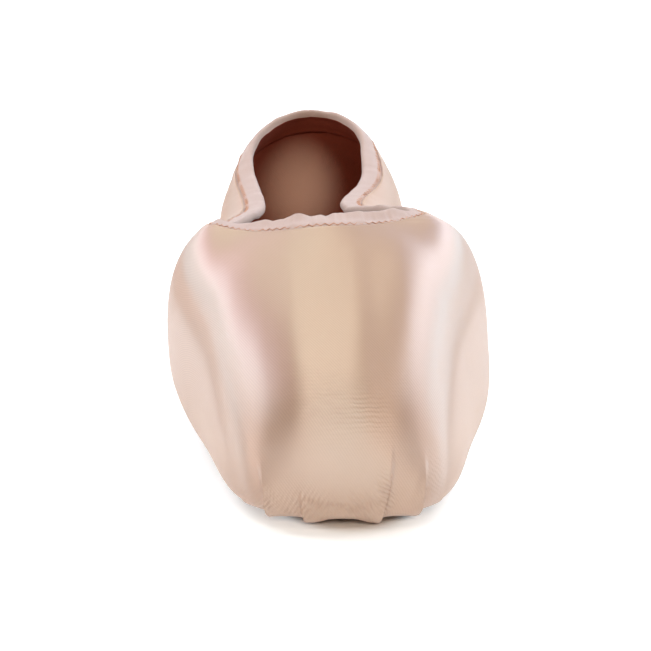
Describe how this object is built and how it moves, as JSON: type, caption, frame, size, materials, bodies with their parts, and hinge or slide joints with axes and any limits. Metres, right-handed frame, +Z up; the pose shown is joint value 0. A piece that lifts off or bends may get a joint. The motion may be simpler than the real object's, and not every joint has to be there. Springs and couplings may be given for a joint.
{
  "type": "pointe shoe",
  "caption": "Satin pointe shoe with a hardened toe box, flat toe platform, drawstring casing at the topline and a narrow leather sole, standing on its sole.",
  "frame": {"origin": "on the floor, below the middle of the shoe's outer box", "axes": "+Z up, -Y towards the toe platform, +Y towards the heel, X across the shoe"},
  "size_m": [0.0824, 0.2356, 0.0574],
  "materials": {
    "pink_satin": "lustrous satin weave, pale pink, soft vertical sheen",
    "cotton_casing": "matte cotton tape",
    "insole_cloth": "matte woven cotton on card",
    "sole_leather": "matte buffed sole leather"
  },
  "bodies": {
    "root": {"upper": "pink_satin", "topline_binding": "cotton_casing", "insole": "insole_cloth", "outsole": "sole_leather"}
  },
  "joints": []
}
